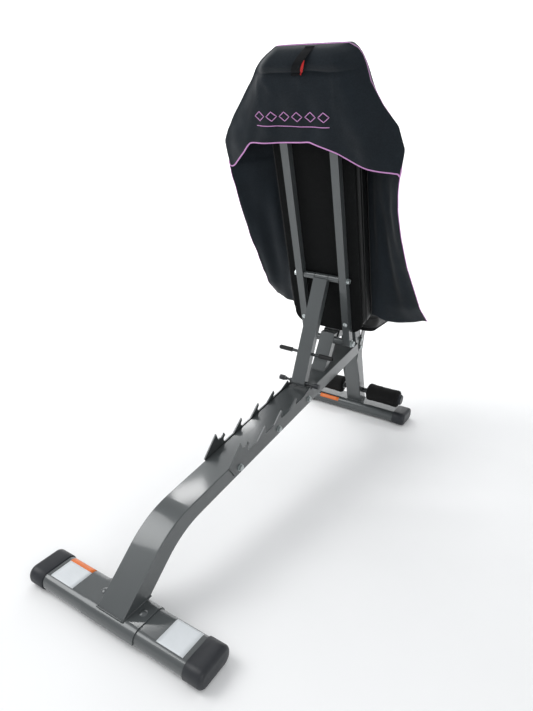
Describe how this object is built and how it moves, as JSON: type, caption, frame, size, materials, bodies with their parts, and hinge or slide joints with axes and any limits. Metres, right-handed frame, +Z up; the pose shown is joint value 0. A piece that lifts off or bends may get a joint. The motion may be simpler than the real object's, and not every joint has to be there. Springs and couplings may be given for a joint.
{
  "type": "adjustable weight bench",
  "caption": "Adjustable weight bench: a strut props the padded backrest from a toothed rack on one sloping beam, with foam ankle rollers and a cloth cover slipped over the backrest.",
  "frame": {"origin": "on the floor, at the middle of the bench's bounding box in plan", "axes": "+Z up, +Y from the rear foot to the front foot, +X to the right of someone standing behind the bench"},
  "size_m": [0.6, 1.466, 1.287],
  "materials": {
    "frame_paint": "gloss gunmetal enamel",
    "cap_plastic": "satin moulded charcoal",
    "zinc": "bright zinc plate",
    "board": "black backing cloth over plywood",
    "vinyl": "grained vinyl-coated cloth over foam",
    "cover_cloth": "dark woven cloth with contrast piping",
    "loop_webbing": "webbing with a red lining",
    "foam": "closed-cell foam",
    "grip_rubber": "moulded rubber"
  },
  "bodies": {
    "base": {"rear_foot_tube": "frame_paint", "rear_foot_cap_left": "cap_plastic", "rear_foot_cap_right": "cap_plastic", "rear_saddle": "frame_paint", "saddle_bolts": "frame_paint", "main_beam": "frame_paint", "rack_plate_left": "frame_paint", "rack_plate_right": "frame_paint", "rack_bolts": "zinc", "front_leg": "frame_paint", "front_foot_tube": "frame_paint", "front_foot_cap_left": "cap_plastic", "front_foot_cap_right": "cap_plastic", "pivot_post": "frame_paint", "pivot_sleeve": "frame_paint", "seat_bracket_left": "frame_paint", "seat_bracket_right": "frame_paint", "seat_bracket_bolts": "zinc", "seat_frame": "frame_paint", "seat_frame_plug": "cap_plastic", "seat_board": "board", "seat_pad": "vinyl", "seat_screws": "zinc", "roller_rod": "frame_paint", "rod_collars": "frame_paint", "rod_end_caps": "cap_plastic"},
    "back": {"back_rail_left": "frame_paint", "back_rail_right": "frame_paint", "rail_end_plugs": "cap_plastic", "back_top_brace": "frame_paint", "back_board": "board", "back_pad": "vinyl", "back_screws": "zinc", "pivot_axle": "zinc", "pivot_nuts": "zinc", "hinge_axle": "zinc", "hinge_nuts": "zinc", "cover": "cover_cloth", "cover_loop": "loop_webbing"},
    "strut": {"strut_tube": "frame_paint", "strut_sleeve": "frame_paint", "crossbar": "frame_paint", "crossbar_caps": "cap_plastic", "handle_rod": "frame_paint", "handle_grip_left": "grip_rubber", "handle_grip_right": "grip_rubber"},
    "roller_left": {"roller_core_left": "cap_plastic", "foam_roller_left": "foam"},
    "roller_right": {"roller_core_right": "cap_plastic", "foam_roller_right": "foam"}
  },
  "joints": [
    {"name": "back_recline", "type": "hinge", "parent": "base", "child": "back", "pos_m": [0, 0.326, 0.413], "axis": [1, 0, 0], "range_deg": [0, 69]},
    {"name": "strut_swing", "type": "hinge", "parent": "back", "child": "strut", "pos_m": [0, 0.23569, 0.64826], "axis": [1, 0, 0], "range_deg": [-119, 0]},
    {"name": "roller_left_spin", "type": "hinge", "parent": "base", "child": "roller_left", "pos_m": [-0.121, 0.664, 0.099], "axis": [1, 0, 0], "continuous": true},
    {"name": "roller_right_spin", "type": "hinge", "parent": "base", "child": "roller_right", "pos_m": [0.121, 0.664, 0.099], "axis": [1, 0, 0], "continuous": true}
  ],
  "couplings": [
    {"joint": "strut_swing", "follows": "back_recline", "ratio": -1.7228}
  ]
}
